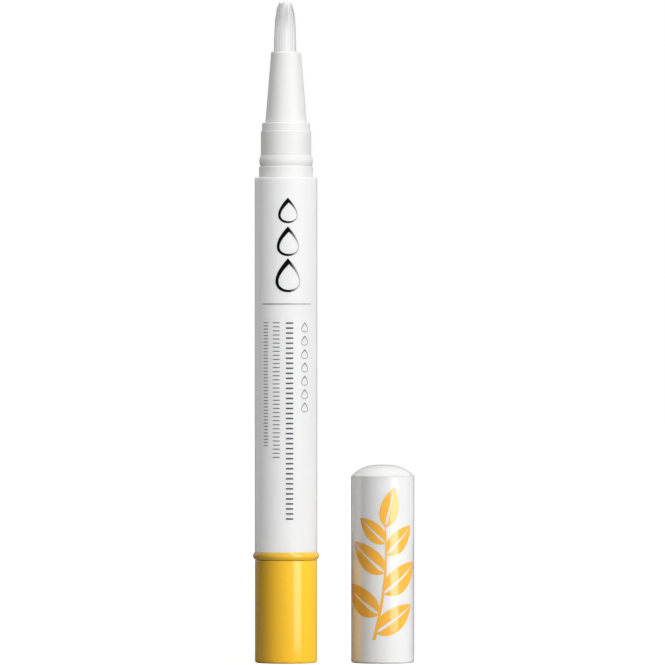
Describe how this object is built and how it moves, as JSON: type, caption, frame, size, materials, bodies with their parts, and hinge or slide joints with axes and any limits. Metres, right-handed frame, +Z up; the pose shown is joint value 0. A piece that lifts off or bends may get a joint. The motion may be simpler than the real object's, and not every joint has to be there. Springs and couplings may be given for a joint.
{
  "type": "nail oil pen",
  "caption": "Slim twist pen for nail oil with a turning knob, a stepped nozzle, a soft brush tip and a domed push-on cap standing beside it.",
  "frame": {"origin": "middle of the knob's flat foot, on the pen's axis", "axes": "+Z up along the pen towards the brush, +X towards the cap that stands beside it"},
  "size_m": [0.031, 0.0128, 0.1268],
  "materials": {
    "barrel_shell": "glossy white lacquered barrel",
    "knob_shell": "glossy golden yellow",
    "trim_ring": "glossy golden yellow bead",
    "nozzle_resin": "satin moulded white",
    "bristle": "fine white synthetic bristle",
    "cap_shell": "glossy white lacquered cap",
    "cap_end": "warm white moulded dome",
    "natural_resin": "natural milky resin",
    "white_resin": "moulded white resin",
    "click_resin": "smooth sprung resin",
    "seal_rubber": "soft black seal rubber",
    "pipe_steel": "drawn steel tube"
  },
  "bodies": {
    "pen": {"barrel": "barrel_shell", "nozzle": "nozzle_resin", "joint_seal": "seal_rubber", "pipe_joint": "white_resin", "feed_pipe": "pipe_steel", "brush_ferrule": "white_resin", "brush_tuft": "bristle", "feed_nut": "natural_resin", "tail_bush": "natural_resin", "trim_ring": "trim_ring"},
    "knob": {"knob": "knob_shell", "knob_core": "natural_resin", "drive_sleeve": "natural_resin", "click_ring": "click_resin"},
    "screw": {"screw_rod": "white_resin"},
    "piston": {"piston": "white_resin", "piston_seal": "seal_rubber"},
    "cap": {"cap_sleeve": "cap_shell", "cap_dome": "cap_end", "inner_cap": "natural_resin"}
  },
  "joints": [
    {"name": "knob_turn", "type": "hinge", "parent": "pen", "child": "knob", "pos_m": [0, 0, 0.0099], "axis": [0, 0, 1], "range_deg": [0, 6121], "deforming": ["click_ring"]},
    {"name": "screw_feed", "type": "slide", "parent": "knob", "child": "screw", "axis": [0, 0, 1], "range_m": [0, 0.0341]},
    {"name": "piston_feed", "type": "slide", "parent": "pen", "child": "piston", "axis": [0, 0, 1], "range_m": [0, 0.034]},
    {"name": "cap_lift", "type": "slide", "parent": "pen", "child": "cap", "axis": [0, 0, 1], "range_m": [0, 0.14]}
  ],
  "couplings": [
    {"joint": "knob_turn", "follows": "piston_feed", "rad_per_m": 3141.6},
    {"joint": "screw_feed", "follows": "piston_feed", "ratio": 1}
  ]
}
